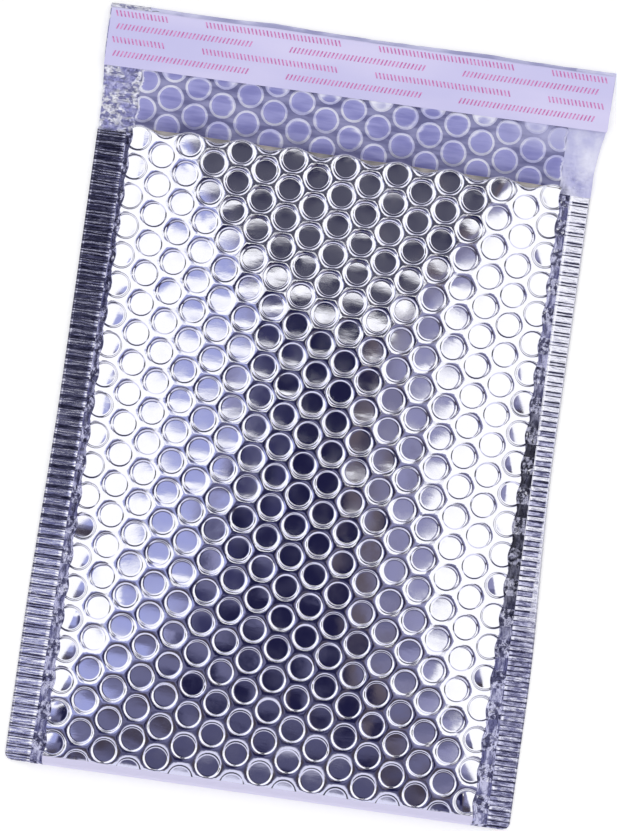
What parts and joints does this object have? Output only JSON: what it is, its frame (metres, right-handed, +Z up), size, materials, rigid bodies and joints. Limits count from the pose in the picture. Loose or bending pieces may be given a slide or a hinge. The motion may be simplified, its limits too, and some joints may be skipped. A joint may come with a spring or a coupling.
{
  "type": "padded envelope",
  "caption": "Padded envelope of metallised bubble film with ribbed side seals, an open self-adhesive flap and a release liner, lying flat.",
  "frame": {"origin": "on the surface it lies on, under the middle of the open envelope", "axes": "+X across the width, +Y from the bottom fold towards the flap, +Z up through the front panel"},
  "size_m": [0.2, 0.3, 0.016],
  "materials": {
    "metallised_film": "mirror-bright metallised plastic film with a faint violet cast, finely wrinkled at the seals",
    "bubble_film": "clear bubble film over the violet inner side of the metallised film, glossy",
    "adhesive": "pressure-sensitive hot melt, translucent and slightly glossy",
    "release_film": "thin lilac release film, satin, with fine creases",
    "liner_marks": "pink printed hatch marks with no lettering"
  },
  "bodies": {
    "root": {"pouch": "metallised_film", "adhesive_strip": "adhesive", "release_liner": "release_film"}
  },
  "joints": []
}
